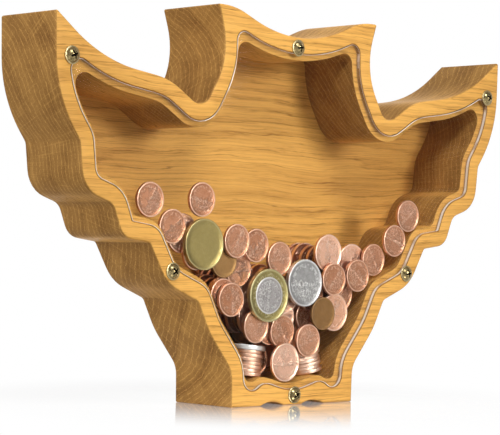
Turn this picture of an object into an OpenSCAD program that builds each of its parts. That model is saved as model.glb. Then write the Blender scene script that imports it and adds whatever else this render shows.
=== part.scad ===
// Winged wooden money box: one routed block, a clear window let into its front and held by six
// dome-head screws with washers, a coin slot in the dip of the top edge, and the coins inside.
// Frame: the origin is on the ground under the middle of the depth, +X right, -Y front, +Z up.

/* [Block] */
// Width over the wing tips
wing_span = 302.8; // [285:0.1:330]
// Height to the horn peaks
block_height = 190.5; // [180:0.5:210]
// Depth of the block, front to back
block_depth = 40; // [36:0.5:60]
// Wood left behind the coin chamber
back_wall = 4; // [3:0.5:7]
// Width of the front border around the window rebate
border_w = 7.6; // [7:0.1:8.4]
// Width of the ledge that carries the window
ledge_w = 3.4; // [2.4:0.1:4.4]
// Radius of the rebate's rounded ends in the wing tips
wing_lobe_r = 5.7; // [5:0.1:6.5]
// Radius of the rebate's rounded ends in the horns
horn_lobe_r = 5.4; // [4.5:0.1:6.5]
// Radius of the rebate's rounded ends over the outer feet
foot_lobe_r = 6.7; // [6:0.1:7.2]
// Smallest inside radius of the rebate
rebate_cutter_r = 1.5; // [1:0.1:2.5]
// Smallest inside radius of the coin chamber
chamber_cutter_r = 4.5; // [3.5:0.1:4.8]
// Radius of the chamber's rounded ends in the wing tips and the horns
chamber_lobe_r = 5.4; // [4.5:0.1:6]

/* [Feet] */
// Width of the middle foot
middle_foot_w = 12; // [8:0.5:16]
// Width of each arch between the feet
foot_arch_w = 15.5; // [12:0.5:18]
// Height of each arch
foot_arch_rise = 1.8; // [1:0.1:2.6]

/* [Coin slot] */
// Length of the coin slot along the wings
slot_l = 32; // [29:0.5:40]
// Width of the coin slot
slot_w = 5; // [4.4:0.1:6]
// Distance of the slot's middle behind the middle of the block
slot_y = 6; // [4:0.5:8]

/* [Window] */
// Thickness of the clear window
window_t = 2.5; // [2:0.1:4]
// Gap between the window's edge and the rebate
window_gap = 0.4; // [0.2:0.05:0.8]

/* [Screws] */
// Diameter of the screw shanks
shank_d = 3.5; // [3:0.1:4]
// Length of the shanks under the head
shank_l = 16; // [12:0.5:18]
// Length of the pointed end of the shank
point_l = 4; // [2:0.5:6]
// Diameter of the domed heads
head_d = 7.2; // [6.4:0.1:7.6]
// Height of the domed heads
head_h = 2.2; // [1.8:0.1:2.8]
// Width of each wing of the cross recess
recess_w = 1; // [0.7:0.1:1.4]
// Width over the cross recess
recess_span = 4.2; // [3.4:0.1:4.8]
// Depth of the cross recess
recess_h = 1.4; // [1:0.1:1.6]
// Radial play of the shanks in their holes
shank_play = 0.09; // [0.05:0.01:0.1]
// Depth left under the screw points
hole_spare = 1; // [0.5:0.5:3]
// Wood left between a shank and the rebate
screw_land = 0.6; // [0.4:0.1:0.8]
// Sideways place of the top screw
top_screw_x = -1.8; // [-4:0.1:4]
// Sideways place of the bottom screw
bottom_screw_x = 0.5; // [-2:0.1:2]

/* [Washers] */
// Diameter of the washers
washer_d = 8.2; // [7.8:0.1:8.8]
// Thickness of the washers
washer_t = 0.6; // [0.4:0.1:1]
// Radial play of the shanks in the washers
washer_play = 0.2; // [0.1:0.05:0.3]

/* [Coins] */
// Diameter of the smallest copper coins
penny_d = 16.25; // [15:0.05:17]
// Thickness of the copper coins
penny_t = 1.7; // [1.4:0.1:2]
// Diameter of the larger copper coins
bronze_d = 18.75; // [17.5:0.05:20]
// Diameter of the silver coins
silver_d = 23.25; // [22:0.05:24]
// Diameter of the brass coins
brass_d = 24.25; // [23:0.05:25]
// Diameter of the two-metal coins
bimetal_d = 25.75; // [24:0.05:26.5]
// Diameter of the middle of a two-metal coin
core_d = 18; // [15:0.5:20]
// Thickness of the thick coins
thick_t = 2.3; // [2:0.1:2.5]
// Width of the raised rim of every coin
rim_w = 0.8; // [0.5:0.1:1.2]
// Height of the raised rim
rim_h = 0.15; // [0.1:0.05:0.3]
// Gap between neighbouring coins
coin_gap = 0.1; // [0.05:0.05:0.25]
// Height of the heap of coins at the middle of the chamber
heap_h = 76; // [50:1:84]
// Rise of the heap towards the wings, in millimetres for each millimetre
heap_slope = 0.12; // [0:0.02:0.2]

/* [Hidden] */
$fn = 64;

// The outline is drawn as a loop of corners [x, z, radius] at these sizes, then stretched to the set ones.
drawn_span = 302.8;
drawn_height = 190.5;
stretch = [wing_span / drawn_span, block_height / drawn_height];

// Right half of the outside, from the foot up the scalloped side, over the wing tip to the horn.
outside_half = [
    [41.3, 0, 0.5], [41.7, 17.6, 12], [56.6, 36, 45], [63.9, 50.6, 4],
    [83.5, 58.6, 22], [94.2, 77.2, 2.5], [110.5, 79.4, 9], [116.5, 94.4, 7],
    [133.9, 100.2, 14], [136.3, 121.7, 5], [150.45, 141, 60],
    [151.4, 179.2, 1], [124, 158.4, 78], [84, 152.8, 38], [63.1, 139.8, 7],
    [47.1, 167.1, 35], [54.7, 190.4, 0.8], [43.7, 190.5, 38]
];
// The dip between the horns, on the middle line.
top_dip = [0, 172.6, 79];
// The wavy lower edge of the front border, drawn at the outside like the rest.
lower_wave = [[6.6, -0.5, 27.6], [18.3, 2.7, 0.4], [41.7, -12.7, 14.3]];

front_y = -block_depth / 2;
ledge_y = front_y + window_t;
chamber_back_y = block_depth / 2 - back_wall;
chamber_inset = border_w + ledge_w;
screw_reach = shank_d / 2 + screw_land;
seat_gap = 0.02;
cut = 1;

// Smallest step of the rounded corners, in degrees and in millimetres.
corner_step = 12;
chord_step = 3.5;

// ---- outlines, anticlockwise as seen from the front ----

function place(c) = [c[0], c[1]];
function unit(v) = v / norm(v);
function left_of(v) = [-v[1], v[0]];
function corner(loop, i) = loop[(i + len(loop)) % len(loop)];
function side(loop, i) = unit(place(corner(loop, i + 1)) - place(corner(loop, i)));
function heading(v) = atan2(v[1], v[0]);
// The heading a, with whole turns added until it is close to b.
function close_to(a, b) = a + 360 * round((b - a) / 360);
function mirrored(half) = [for (i = [len(half) - 1 : -1 : 0]) [-half[i][0], half[i][1], half[i][2]]];
function whole(half) = [
    for (c = concat(half, [top_dip], mirrored(half))) [c[0] * stretch[0], c[1] * stretch[1], c[2]]
];

outside_loop = whole(outside_half);
front_half = concat(lower_wave, [for (i = [1 : len(outside_half) - 1]) outside_half[i]]);
front_loop = whole(front_half);
// Places in front_half of the corners that the rounded ends lie between, and of the lower bulge.
wave_crest = 1;
foot_waist = 3;
lower_bulge = 6;
wing_back = 12;
wing_sweep = 14;
horn_waist = 17;
dip = len(front_half);

// An arc is [centre, radius, first heading, last heading]; the radius is negative in a hollow.
// The arc of corner i after the loop has moved in by d, where no bulge is tighter than smallest_r.
function inset_arc(loop, i, d, smallest_r) =
    let (
        m = left_of(side(loop, i - 1)),
        n = left_of(side(loop, i)),
        first = heading(side(loop, i - 1)),
        last = close_to(heading(side(loop, i)), first),
        r = last > first ? max(corner(loop, i)[2] - d, smallest_r) : -corner(loop, i)[2] - d
    )
    [place(corner(loop, i)) + (d + r) * (m + n) / (1 + m * n), r, first, last];
// The rounded end of radius r that touches the arcs before and after it.
function lobe(before, after, r) =
    let (
        gap = norm(after[0] - before[0]),
        e = (after[0] - before[0]) / gap,
        rb = before[1] - r,
        ra = after[1] - r,
        t = (rb * rb - ra * ra + gap * gap) / (2 * gap),
        c = before[0] + t * e - sign(before[1]) * sqrt(rb * rb - t * t) * left_of(e),
        first = close_to(heading(-left_of((before[0] - c) / rb)), before[2]),
        last = close_to(heading(-left_of((after[0] - c) / ra)), first + 180)
    )
    [c, r, first, last];
function ends_at(arc, h) = [arc[0], arc[1], arc[2], close_to(h, arc[2])];
function starts_at(arc, h) = [arc[0], arc[1], close_to(h, arc[3]), arc[3]];
function arc_point(arc, h) = arc[0] + arc[1] * [sin(h), -cos(h)];
// The points of an arc; a trimmed one leaves out both ends, which its neighbours hold.
function arc_points(arc, trim = 0) =
    let (
        a = arc[3] - arc[2],
        steps = max(2, ceil(abs(a) / corner_step), ceil(abs(a * PI / 180 * arc[1]) / chord_step))
    )
    [for (k = [trim : steps - trim]) arc_point(arc, arc[2] + a * k / steps)];
function with_mirror(right) = concat(right, [for (i = [len(right) - 1 : -1 : 0]) [-right[i][0], right[i][1]]]);

outside_points = [
    for (i = [0 : len(outside_loop) - 1]) each arc_points(inset_arc(outside_loop, i, 0, 0))
];

// The rounded ends over the feet, in the wing tips and in the horns, with the front moved in by d.
function front_arcs(d, smallest_r) = [for (i = [0 : dip]) inset_arc(front_loop, i, d, smallest_r)];
function front_lobes(arcs, foot_r, wing_r, horn_r) = [
    lobe(arcs[wave_crest], arcs[foot_waist], foot_r),
    lobe(arcs[wing_back], arcs[wing_sweep], wing_r),
    lobe(arcs[horn_waist], arcs[dip], horn_r)
];
// Chords on each half of the dip; the point on the middle line is left out.
dip_steps = 12;
// The front outline moved in by d, with those rounded ends.
function front_points(d, smallest_r, foot_r, wing_r, horn_r) =
    let (
        a = front_arcs(d, smallest_r),
        lobes = front_lobes(a, foot_r, wing_r, horn_r),
        foot = lobes[0],
        wing = lobes[1],
        horn = lobes[2]
    )
    with_mirror([
        each arc_points(a[0]),
        each arc_points(ends_at(a[wave_crest], foot[2])),
        each arc_points(foot, 1),
        each arc_points(starts_at(a[foot_waist], foot[3])),
        for (i = [foot_waist + 1 : wing_back - 1]) each arc_points(a[i]),
        each arc_points(ends_at(a[wing_back], wing[2])),
        each arc_points(wing, 1),
        each arc_points(starts_at(a[wing_sweep], wing[3])),
        for (i = [wing_sweep + 1 : horn_waist - 1]) each arc_points(a[i]),
        each arc_points(ends_at(a[horn_waist], horn[2])),
        each arc_points(horn, 1),
        for (k = [0 : dip_steps - 1])
            arc_point(a[dip], horn[3] + (close_to(180, horn[3]) - horn[3]) * k / dip_steps)
    ]);
rebate_arcs = front_arcs(border_w, rebate_cutter_r);
rebate_lobes = front_lobes(rebate_arcs, foot_lobe_r, wing_lobe_r, horn_lobe_r);
rebate_points = front_points(border_w, rebate_cutter_r, foot_lobe_r, wing_lobe_r, horn_lobe_r);
window_points = front_points(
    border_w + window_gap, rebate_cutter_r,
    foot_lobe_r - window_gap, wing_lobe_r - window_gap, horn_lobe_r - window_gap
);
chamber_points = front_points(
    chamber_inset, chamber_cutter_r, chamber_cutter_r, chamber_lobe_r, chamber_lobe_r
);

// ---- places of the six screws, just outside the rebate ----

// Directions in which the screws stand from the rebate's rounded ends, in degrees above +X.
wing_screw_angle = 51;
lower_screw_angle = -45;

function bulge_spot(arc, angle) = arc[0] + (arc[1] + screw_reach) * [cos(angle), sin(angle)];
// The point at x that lies out by screw_reach from an arc whose middle is on the middle line.
function middle_spot(arc, x) =
    arc[0] - [0, sign(-arc[1]) * sqrt(pow(abs(arc[1]) - screw_reach, 2) - x * x)] + [x, 0];

wing_spot = bulge_spot(rebate_lobes[1], wing_screw_angle);
lower_spot = bulge_spot(rebate_arcs[lower_bulge], lower_screw_angle);
top_spot = middle_spot(rebate_arcs[dip], top_screw_x);
bottom_spot = [bottom_screw_x, place(front_loop[0])[1] + border_w - screw_reach];
function other_side(p) = [-p[0], p[1]];

screw_spots = [
    other_side(wing_spot), wing_spot, other_side(lower_spot), lower_spot, top_spot, bottom_spot
];

// ---- body ----

// A flat shape drawn as x and z, made solid from y0 back to y1.
module slab(y0, y1) {
    translate([0, y1, 0])
        rotate([90, 0, 0])
            linear_extrude(y1 - y0)
                children();
}

module foot_arches() {
    arch_r = (pow(foot_arch_w / 2, 2) + pow(foot_arch_rise, 2)) / (2 * foot_arch_rise);
    for (s = [-1, 1])
        translate([s * (middle_foot_w + foot_arch_w) / 2, 0, foot_arch_rise - arch_r])
            rotate([90, 0, 0])
                cylinder(h = block_depth + 2 * cut, r = arch_r, center = true, $fn = 128);
}

module coin_slot() {
    slot_z = arc_point(inset_arc(front_loop, dip, chamber_inset, chamber_cutter_r), 180)[1];
    for (s = [-1, 1])
        translate([s * (slot_l - slot_w) / 2, slot_y, slot_z - cut])
            cylinder(h = block_height, d = slot_w);
    translate([-(slot_l - slot_w) / 2, slot_y - slot_w / 2, slot_z - cut])
        cube([slot_l - slot_w, slot_w, block_height]);
}

module shank_hole(spot) {
    hole_end = washer_t - shank_l - hole_spare;
    translate([spot[0], front_y - cut, spot[1]])
        rotate([-90, 0, 0])
            cylinder(h = cut - hole_end, d = shank_d + 2 * shank_play);
}

module body() {
    color("burlywood")
        difference() {
            slab(front_y, block_depth / 2) polygon(outside_points);
            slab(front_y - cut, ledge_y) polygon(rebate_points);
            slab(front_y, chamber_back_y) polygon(chamber_points);
            foot_arches();
            coin_slot();
            for (spot = screw_spots) shank_hole(spot);
        }
}

module window() {
    color("lightcyan", 0.35)
        slab(front_y, ledge_y - seat_gap) polygon(window_points);
}

// ---- screws and washers, each about its own axis, which points out of the front ----

module on_front(spot) {
    translate([spot[0], front_y, spot[1]])
        rotate([90, 0, 0])
            children();
}

module cross_recess() {
    intersection() {
        union() {
            cube([recess_span, recess_w, 2 * recess_h], center = true);
            cube([recess_w, recess_span, 2 * recess_h], center = true);
        }
        translate([0, 0, -recess_h])
            cylinder(h = 2 * recess_h, r1 = recess_w / 2, r2 = recess_span - recess_w / 2);
    }
}

module screw(spot) {
    dome_r = (pow(head_d / 2, 2) + pow(head_h, 2)) / (2 * head_h);
    seat = washer_t + seat_gap;
    color("darkkhaki")
        on_front(spot)
            translate([0, 0, seat])
                difference() {
                    union() {
                        intersection() {
                            translate([0, 0, head_h - dome_r]) sphere(r = dome_r);
                            cylinder(h = head_h + cut, d = head_d + cut);
                        }
                        translate([0, 0, point_l - shank_l])
                            cylinder(h = shank_l - point_l + cut / 2, d = shank_d);
                        translate([0, 0, -shank_l])
                            cylinder(h = point_l, d1 = shank_d / 8, d2 = shank_d);
                    }
                    translate([0, 0, head_h]) cross_recess();
                }
}

module washer(spot) {
    color("goldenrod")
        on_front(spot)
            translate([0, 0, seat_gap / 2])
                difference() {
                    cylinder(h = washer_t, d = washer_d);
                    translate([0, 0, -cut])
                        cylinder(h = washer_t + 2 * cut, d = shank_d + 2 * washer_play);
                }
}

// ---- coins: rows of coins stand behind the window, one behind the other ----

PENNY = 0;
DARK = 1;
BRONZE = 2;
SILVER = 3;
BRASS = 4;
BIMETAL = 5;
kind_d = [penny_d, penny_d, bronze_d, silver_d, brass_d, bimetal_d];
kind_t = [penny_t, penny_t, penny_t, thick_t, thick_t, thick_t];

// The coins that show, from the window back: [x, z, kind].
shown_coins = in_place([
    [9.5, 59.2, SILVER], [-15, 53, BIMETAL], [-58, 77, BRASS], [-92, 97, PENNY], [-60, 98, PENNY],
    [-76, 85, PENNY], [-37, 79, PENNY], [-22, 77, PENNY], [-6, 71, PENNY], [-31, 65, PENNY],
    [-40, 51, PENNY], [30, 61, PENNY], [47, 63, PENNY], [61, 71, PENNY], [74, 81, PENNY],
    [84, 94, PENNY], [-3, 20.4, BRONZE], [-3.2, 35.4, PENNY], [12.4, 30.8, PENNY], [-21, 38, PENNY],
    [22.5, 44, DARK], [33, 44.5, BRONZE], [-43, 69.4, DARK], [28, 74, BRONZE], [-61, 73, PENNY],
    [-43, 53, PENNY], [40, 53, PENNY], [-68, 82, BRONZE]
]);
// Coins that lie in stacks: [x, z, kind, tilt, count, first row], about the stack's middle.
foot_stacks = in_place([[-20.6, 20.2, PENNY, -6, 7, 1], [19.5, 20.1, BRONZE, 12, 6, 1]]);
stacks = concat(foot_stacks, [
    on_top(foot_stacks[0], SILVER, 1, 0), on_top(foot_stacks[1], PENNY, 4, 1)
]);
// Most that a lying coin stands off its stack's middle.
stack_scatter = 0.5;
// Turn from one scattered coin to the next, in degrees.
scatter_turn = 137;

// Places drawn at the drawn size, moved to where they lie at the set one.
function in_place(coins) = [
    for (c = coins) [for (i = [0 : len(c) - 1]) i < 2 ? c[i] * stretch[i] : c[i]]
];

row_pitch = max(penny_t, thick_t) + coin_gap;
first_row_y = ledge_y + coin_gap;
row_count = floor((chamber_back_y - first_row_y) / row_pitch);

// Distance from point p to the line piece a-b.
function piece_gap(p, a, b) =
    let (ab = b - a, t = min(1, max(0, (p - a) * ab / (ab * ab))))
    norm(p - a - t * ab);
function crosses(p, a, b) =
    (a[1] > p[1]) != (b[1] > p[1]) && p[0] < a[0] + (p[1] - a[1]) * (b[0] - a[0]) / (b[1] - a[1]);
// Whether a circle about p with radius r lies inside the chamber.
function in_chamber(p, r) =
    let (
        n = len(chamber_points),
        pairs = [for (i = [0 : n - 1]) [chamber_points[i], chamber_points[(i + 1) % n]]],
        crossings = [for (q = pairs) if (crosses(p, q[0], q[1])) 1],
        near = min([for (q = pairs) piece_gap(p, q[0], q[1])])
    )
    len(crossings) % 2 == 1 && near > r + coin_gap;
function apart(c, d) =
    norm(place(c) - place(d)) >= (kind_d[c[2]] + kind_d[d[2]]) / 2 + coin_gap;
// Height of one coin in a stack.
function layer_h(s) = kind_t[s[2]] + coin_gap;
// A stack of count coins that lies on stack s, set back from its first row.
function on_top(s, kind, count, set_back) =
    let (
        lift = (s[4] * layer_h(s) + count * (kind_t[kind] + coin_gap)) / 2,
        c = place(s) + lift * left_of([cos(s[3]), sin(s[3])])
    )
    [c[0], c[1], kind, s[3], count, s[5] + set_back];
// How far point p lies outside a stack as seen from the front.
function stack_gap(p, s) =
    let (
        along = [cos(s[3]), sin(s[3])],
        v = p - place(s),
        out = [
            abs(v * along) - kind_d[s[2]] / 2 - stack_scatter,
            abs(v * left_of(along)) - s[4] * layer_h(s) / 2
        ]
    )
    norm([max(out[0], 0), max(out[1], 0)]);
function in_stack_rows(row, s) = row >= s[5] && first_row_y + row * row_pitch < stack_back_y(s);
function stack_front_y(s) = first_row_y + s[5] * row_pitch;
function stack_back_y(s) = stack_front_y(s) + kind_d[s[2]] + stack_scatter;
function clear_of_stacks(c, row) =
    len([
        for (s = stacks)
            if (in_stack_rows(row, s) && stack_gap(place(c), s) < kind_d[c[2]] / 2 + coin_gap) 1
    ]) == 0;
function free_in_row(c, row, settled) =
    len([for (s = settled) if (s[3] == row && !apart(c, s)) 1]) == 0 && clear_of_stacks(c, row);
// The first row in which coin c has room.
function first_row(c, settled, row = 0) = free_in_row(c, row, settled) ? row : first_row(c, settled, row + 1);
// Every shown coin that has room in the chamber, with the row that it stands in: [x, z, kind, row].
function settle(coins, i = 0, settled = []) =
    i == len(coins) ? settled
    : let (c = coins[i], row = first_row(c, settled))
    in_chamber(place(c), kind_d[c[2]] / 2) && row < row_count
    ? settle(coins, i + 1, concat(settled, [[c[0], c[1], c[2], row]]))
    : settle(coins, i + 1, settled);
shown = settle(shown_coins);

// The other coins stand in rows behind, staggered from row to row.
heap_pitch = bronze_d + 2 * coin_gap;
heap_lift = heap_pitch * sqrt(3) / 2;
heap_cells = ceil(wing_span / 2 / heap_pitch);
heap_levels = floor(block_height / 2 / heap_lift);
// Rise of every other row, as a share of the lift from level to level.
row_rise = 1 / 3;
function heap_kind(i, j, row) = [PENNY, BRONZE, PENNY, DARK, BRONZE][(3 * i + j + row + 5 * heap_cells) % 5];
heap_grid = [
    for (shift = [0, 1])
        [
            for (j = [0 : heap_levels])
                for (i = [-heap_cells : heap_cells])
                    let (
                        x = (i + (j + shift) % 2 / 2) * heap_pitch,
                        z = chamber_inset + bronze_d / 2 + (j + shift * row_rise) * heap_lift
                    )
                    if (z + bronze_d / 2 < heap_h + heap_slope * abs(x) && in_chamber([x, z], bronze_d / 2))
                        [x, z, i, j]
        ]
];
heap = [
    for (row = [1 : row_count - 1])
        for (h = heap_grid[row % 2])
            let (c = [h[0], h[1], heap_kind(h[2], h[3], row), row])
            if (free_in_row(c, row, shown)) c
];
// A coin of the heap is kept where it overlaps one in the next row, so that every coin leans on another.
overlap_reach = penny_d * 0.9;
function leans(c, others) =
    len([
        for (o = others)
            if (abs(o[3] - c[3]) == 1 && norm(place(o) - place(c)) < overlap_reach) 1
    ]) > 0;
coins = concat(shown, [for (c = heap) if (leans(c, concat(shown, heap))) c]);

module stand_coin(c) {
    translate([c[0], first_row_y + c[3] * row_pitch, c[1]])
        rotate([-90, 0, 0])
            children();
}

// A flat round blank with a raised rim on both faces.
module coin_blank(d, t) {
    difference() {
        cylinder(h = t, d = d);
        for (z = [-cut, t - rim_h])
            translate([0, 0, z])
                cylinder(h = cut + (z < 0 ? rim_h : 0), d = d - 2 * rim_w);
    }
}

// Lays the coins of stack s, each a little off the one below.
module lay_coins(s) {
    for (k = [0 : s[4] - 1])
        translate([s[0], stack_front_y(s) + (kind_d[s[2]] + stack_scatter) / 2, s[1]])
            rotate([0, -s[3], 0])
                translate([
                    stack_scatter * cos(scatter_turn * k),
                    stack_scatter / 2 * sin(scatter_turn * k),
                    (k - s[4] / 2) * layer_h(s) + coin_gap / 2
                ])
                    children();
}

module coins_of(kind) {
    for (c = coins)
        if (c[2] == kind)
            stand_coin(c) coin_blank(kind_d[kind], kind_t[kind]);
    for (s = stacks)
        if (s[2] == kind)
            lay_coins(s) coin_blank(kind_d[kind], kind_t[kind]);
}

module bimetal_ring(t) {
    difference() {
        coin_blank(bimetal_d, t);
        translate([0, 0, -cut]) cylinder(h = t + 2 * cut, d = core_d);
    }
}

module bimetal_rings() {
    for (c = coins)
        if (c[2] == BIMETAL)
            stand_coin(c) bimetal_ring(thick_t);
}

module bimetal_cores() {
    for (c = coins)
        if (c[2] == BIMETAL)
            stand_coin(c)
                translate([0, 0, rim_h])
                    cylinder(h = thick_t - 2 * rim_h, d = core_d - seat_gap);
}

body();
window();
screw(screw_spots[0]);  // wing_screw_left
screw(screw_spots[1]);  // wing_screw_right
screw(screw_spots[2]);  // lower_screw_left
screw(screw_spots[3]);  // lower_screw_right
screw(screw_spots[4]);  // top_screw
screw(screw_spots[5]);  // bottom_screw
washer(screw_spots[0]);  // wing_washer_left
washer(screw_spots[1]);  // wing_washer_right
washer(screw_spots[2]);  // lower_washer_left
washer(screw_spots[3]);  // lower_washer_right
washer(screw_spots[4]);  // top_washer
washer(screw_spots[5]);  // bottom_washer
color("peru") coins_of(PENNY);  // penny_coins
color("saddlebrown") coins_of(DARK);  // dark_coins
color("sandybrown") coins_of(BRONZE);  // bronze_coins
color("silver") coins_of(SILVER);  // silver_coins
color("darkgoldenrod") coins_of(BRASS);  // brass_coins
color("gold") bimetal_rings();
color("gainsboro") bimetal_cores();
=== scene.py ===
"""Winged wooden money box: the looks of the part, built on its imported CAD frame.

The oak block, the clear window, the dome-head screws with their washers and the coins are rebuilt finer than the
CAD nodes that they stand for, each inside its node's own shape.
"""

import logging
import math
from dataclasses import dataclass, field
from enum import Enum
from typing import Iterable, Sequence, Union

import bmesh
import bpy
import numpy as np
from mathutils import Matrix, Vector
from mathutils.geometry import tessellate_polygon


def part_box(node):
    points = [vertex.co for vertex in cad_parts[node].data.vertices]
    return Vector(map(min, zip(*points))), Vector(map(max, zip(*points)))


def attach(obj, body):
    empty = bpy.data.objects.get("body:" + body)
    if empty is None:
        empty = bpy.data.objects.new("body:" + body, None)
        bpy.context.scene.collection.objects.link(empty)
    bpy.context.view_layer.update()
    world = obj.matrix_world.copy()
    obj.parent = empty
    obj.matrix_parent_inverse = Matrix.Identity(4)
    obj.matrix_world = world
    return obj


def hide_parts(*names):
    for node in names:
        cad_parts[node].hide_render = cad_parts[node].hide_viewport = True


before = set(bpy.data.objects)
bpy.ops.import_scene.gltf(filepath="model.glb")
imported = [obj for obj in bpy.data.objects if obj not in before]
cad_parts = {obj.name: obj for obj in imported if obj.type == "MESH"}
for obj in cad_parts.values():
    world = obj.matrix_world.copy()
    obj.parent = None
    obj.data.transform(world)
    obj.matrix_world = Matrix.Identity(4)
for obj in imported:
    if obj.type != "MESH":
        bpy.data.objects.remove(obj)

LOG = logging.getLogger("money_box")
MM = 0.001
SMOOTH_ANGLE = math.radians(35)
# Tolerances in metres: for points of the CAD in one plane, for joining its vertices, and for cleaning a new mesh.
SAME_PLACE = 1e-5
CAD_WELD = 1e-6
WELD = 1e-7
NO_LENGTH = 1e-8
# What a loop's points are rounded to, in decimals of a metre, before they are matched.
PLACES = 5
WHITE = (1.0, 1.0, 1.0)
Value = Union["Wire", float, int, tuple]


class Wire:
    """A value inside a shader or geometry tree, with arithmetic that adds the nodes it needs."""

    def __init__(self, tree: bpy.types.NodeTree, end: bpy.types.NodeSocket) -> None:
        """Wraps one output socket of a tree."""
        self.tree = tree
        self.end = end

    def node(self, kind: str, feeds: dict[Union[str, int], Value], out: Union[str, int] = 0, **settings) -> "Wire":
        """Adds any node to this value's tree.

        Args:
            kind: The node's type name.
            feeds: What goes into its inputs, by name or place.
            out: The output to return.
            **settings: Properties of the node itself.

        Returns:
            The chosen output.
        """
        return add_node(self.tree, kind, feeds, out, **settings)

    def do(self, operation: str, *others: Value) -> "Wire":
        """Adds a Math or Vector Math node, whichever the operands call for.

        Args:
            operation: The node's operation.
            *others: The operands after this one.

        Returns:
            The result.
        """
        values = (self, *others)
        vector = operation in {"MULTIPLY", "ADD", "SUBTRACT", "DIVIDE", "ABSOLUTE"} and any(
            isinstance(v, tuple) or (isinstance(v, Wire) and v.end.type in {"VECTOR", "RGBA"}) for v in values
        )
        kind = "ShaderNodeVectorMath" if vector else "ShaderNodeMath"
        feeds = {i: (v, v, v) if vector and isinstance(v, (int, float)) else v for i, v in enumerate(values)}
        return self.node(kind, feeds, operation=operation)

    def __add__(self, other: Value) -> "Wire":
        """Sum."""
        return self.do("ADD", other)

    __radd__ = __add__

    def __mul__(self, other: Value) -> "Wire":
        """Product."""
        return self.do("MULTIPLY", other)

    __rmul__ = __mul__

    def __sub__(self, other: Value) -> "Wire":
        """Difference."""
        return self.do("SUBTRACT", other)

    def __rsub__(self, other: float) -> "Wire":
        """Difference from a plain number."""
        return (self * -1.0) + other

    def __truediv__(self, other: Value) -> "Wire":
        """Quotient."""
        return self.do("DIVIDE", other)

    def __abs__(self) -> "Wire":
        """Size without sign."""
        return self.do("ABSOLUTE")

    def length(self) -> "Wire":
        """Length of a vector."""
        return self.node("ShaderNodeVectorMath", {0: self}, "Value", operation="LENGTH")

    def part(self, axis: int) -> "Wire":
        """One component of a vector."""
        return self.node("ShaderNodeSeparateXYZ", {0: self}, axis)

    def step(self, low: float, high: float, to_low: float = 0.0, to_high: float = 1.0) -> "Wire":
        """Smooth step from to_low at low to to_high at high.

        Args:
            low: Value where the step starts.
            high: Value where it ends.
            to_low: Result before the step.
            to_high: Result after it.

        Returns:
            The stepped value.
        """
        feeds = {"Value": self, "From Min": low, "From Max": high, "To Min": to_low, "To Max": to_high}
        return self.node("ShaderNodeMapRange", feeds, interpolation_type="SMOOTHSTEP")

    def noise(self, scale: float, detail: float = 2.0, rough: float = 0.5) -> "Wire":
        """Fractal noise over a vector, about 0.5."""
        feeds = {"Vector": self, "Scale": scale, "Detail": detail, "Roughness": rough}
        return self.node("ShaderNodeTexNoise", feeds)

    def mix(self, a: Value, b: Value) -> "Wire":
        """Colour a where this is 0 and b where it is 1."""
        return self.node("ShaderNodeMix", {"Factor": self, 6: a, 7: b}, 2, data_type="RGBA", clamp_factor=True)


def add_node(
    tree: bpy.types.NodeTree, kind: str, feeds: dict[Union[str, int], Value], out: Union[str, int] = 0, **settings
) -> Wire:
    """Adds a node to a tree.

    Args:
        tree: The tree.
        kind: The node's type name.
        feeds: Values or wires for its inputs, by name or place.
        out: The output to return.
        **settings: Properties of the node.

    Returns:
        The chosen output.
    """
    made = tree.nodes.new(kind)
    for name, value in settings.items():
        setattr(made, name, value)
    for key, value in feeds.items():
        socket = made.inputs[key]
        if isinstance(value, Wire):
            tree.links.new(value.end, socket)
        elif socket.type == "RGBA" and len(value) == 3:
            socket.default_value = (*value, 1.0)
        else:
            socket.default_value = value
    return Wire(tree, made.outputs[out] if len(made.outputs) else None)


def joined(x: Value, y: Value, z: Value) -> Wire:
    """A vector from three components, at least one of them a wire."""
    tree = next(v.tree for v in (x, y, z) if isinstance(v, Wire))
    return add_node(tree, "ShaderNodeCombineXYZ", {0: x, 1: y, 2: z})


# ---- finishes


@dataclass(frozen=True)
class Finish:
    """A procedural material."""

    name: str

    def make(self) -> bpy.types.Material:
        """Builds the material.

        Returns:
            The new material, with one Principled shader.
        """
        material = bpy.data.materials.new(self.name)
        material.use_nodes = True
        tree = material.node_tree
        tree.nodes.clear()
        shader = add_node(tree, "ShaderNodeBsdfPrincipled", self.inputs(tree), "BSDF")
        add_node(tree, "ShaderNodeOutputMaterial", {"Surface": shader})
        return material

    def inputs(self, tree: bpy.types.NodeTree) -> dict[str, Value]:
        """What goes into the Principled shader."""
        raise NotImplementedError

    def place(self, tree: bpy.types.NodeTree) -> Wire:
        """The object's own coordinates, in millimetres."""
        return add_node(tree, "ShaderNodeTexCoord", {}, "Object") * (1 / MM)

    def bump(self, height: Wire, distance_mm: float, strength: float = 1.0) -> Wire:
        """A Bump node on a height that runs from 0 to 1."""
        feeds = {"Height": height, "Distance": distance_mm * MM, "Strength": strength}
        return height.node("ShaderNodeBump", feeds, "Normal")


@dataclass(frozen=True)
class Mask:
    """A noise stretched by three scales and cut to a soft mask."""

    scale: tuple
    detail: float
    rough: float
    low: float
    high: float

    def over(self, place: Wire) -> Wire:
        """The mask over a place, from 0 to 1."""
        return (place * self.scale).noise(1.0, self.detail, self.rough).step(self.low, self.high)


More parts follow.
